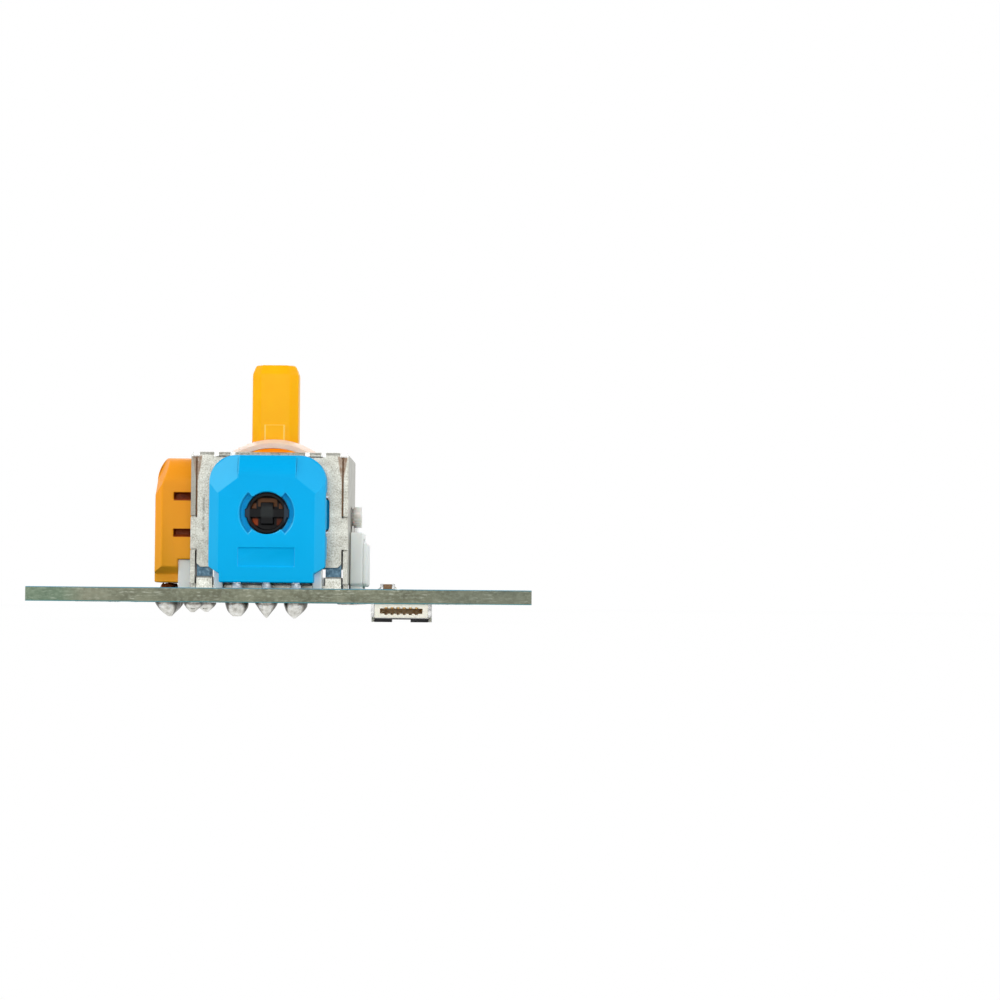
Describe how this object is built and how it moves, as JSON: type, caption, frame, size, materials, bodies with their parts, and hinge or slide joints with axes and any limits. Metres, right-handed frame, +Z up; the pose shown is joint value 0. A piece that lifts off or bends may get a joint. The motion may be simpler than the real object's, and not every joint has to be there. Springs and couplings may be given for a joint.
{
  "type": "controller analog stick",
  "caption": "Two-axis thumb stick module with tilt sensors, domed yokes and a side push switch, soldered to its stretch of circuit board.",
  "frame": {"origin": "on the stick's axis at the circuit board's top face, midway between the two board screw holes", "axes": "+Z up along the stick from the board's top face; +X along the board, away from the side sensor; the front sensor faces -Y"},
  "size_m": [0.0418, 0.0275, 0.0224],
  "materials": {
    "board_fibre": "teal solder mask over woven glass board with a grey-olive cut edge",
    "tinned_steel": "tin-plated sheet, mottled",
    "white_plastic": "moulded",
    "blue_plastic": "moulded, half gloss",
    "orange_plastic": "moulded, half gloss",
    "amber_plastic": "moulded, half gloss",
    "natural_plastic": "moulded, slightly translucent",
    "black_plastic": "moulded",
    "cream_plastic": "moulded",
    "magnet_grey": "sintered",
    "tinned_contact": "tin-plated",
    "solder": "wetted, bright",
    "spring_steel": "drawn wire and strip",
    "gold_contact": "flash gold plating",
    "brown_ceramic": "fired"
  },
  "bodies": {
    "module": {"circuit_board": "board_fibre", "metal_cover": "tinned_steel", "base_plate": "tinned_steel", "base_frame": "white_plastic", "front_sensor_housing": "blue_plastic", "side_sensor_housing": "orange_plastic", "front_sensor_chip": "black_plastic", "side_sensor_chip": "black_plastic", "front_sensor_leads": "tinned_contact", "side_sensor_leads": "tinned_contact", "front_lead_solder": "solder", "side_lead_solder": "solder", "cover_leg_solder": "solder", "return_spring": "spring_steel", "switch_body": "white_plastic", "switch_cover": "white_plastic", "switch_dome": "spring_steel", "switch_terminals": "tinned_contact", "switch_solder": "solder", "connector_housing": "cream_plastic", "connector_contacts": "gold_contact", "connector_anchors": "tinned_contact", "capacitor_body": "brown_ceramic", "capacitor_caps": "tinned_contact"},
    "side_rotor": {"side_rotor": "black_plastic", "side_magnet": "magnet_grey"},
    "arch_yoke": {"arch_yoke": "natural_plastic", "pivot_pin": "spring_steel"},
    "stick": {"stick": "amber_plastic"},
    "cross_yoke": {"cross_yoke": "orange_plastic", "front_rotor": "black_plastic", "front_magnet": "magnet_grey"},
    "spring_seat": {"spring_seat": "white_plastic"},
    "switch_plunger": {"switch_plunger": "white_plastic"},
    "connector_latch": {"connector_latch": "black_plastic"}
  },
  "joints": [
    {"name": "side_tilt", "type": "hinge", "parent": "module", "child": "side_rotor", "pos_m": [0, 0, 0.0064], "axis": [1, 0, 0], "range_deg": [-18, 18], "stiffness_Nm_per_rad": 0.02},
    {"name": "push_click", "type": "hinge", "parent": "side_rotor", "child": "arch_yoke", "pos_m": [-0.0073, 0, 0.0064], "axis": [0, 1, 0], "range_deg": [0, 1.8], "stiffness_Nm_per_rad": 0.2},
    {"name": "front_tilt", "type": "hinge", "parent": "arch_yoke", "child": "stick", "pos_m": [0, 0, 0.0064], "axis": [0, 1, 0], "range_deg": [-18, 18], "stiffness_Nm_per_rad": 0.02},
    {"name": "cross_tilt", "type": "hinge", "parent": "module", "child": "cross_yoke", "pos_m": [0, 0, 0.0064], "axis": [0, 1, 0], "range_deg": [-18, 18]},
    {"name": "seat_slide", "type": "slide", "parent": "module", "child": "spring_seat", "axis": [0, 0, -1], "range_m": [0, 0.00023], "deforming": ["return_spring"]},
    {"name": "plunger_slide", "type": "slide", "parent": "module", "child": "switch_plunger", "axis": [0, 0, -1], "range_m": [0, 0.00045], "deforming": ["switch_dome"]},
    {"name": "latch_flip", "type": "hinge", "parent": "module", "child": "connector_latch", "pos_m": [0.01165, -0.0147, -0.00254], "axis": [1, 0, 0], "range_deg": [0, 90]}
  ],
  "couplings": [
    {"joint": "cross_tilt", "follows": "front_tilt", "ratio": 1},
    {"joint": "seat_slide", "follows": "push_click", "m_per_rad": 0.0073},
    {"joint": "plunger_slide", "follows": "push_click", "m_per_rad": 0.0142}
  ]
}
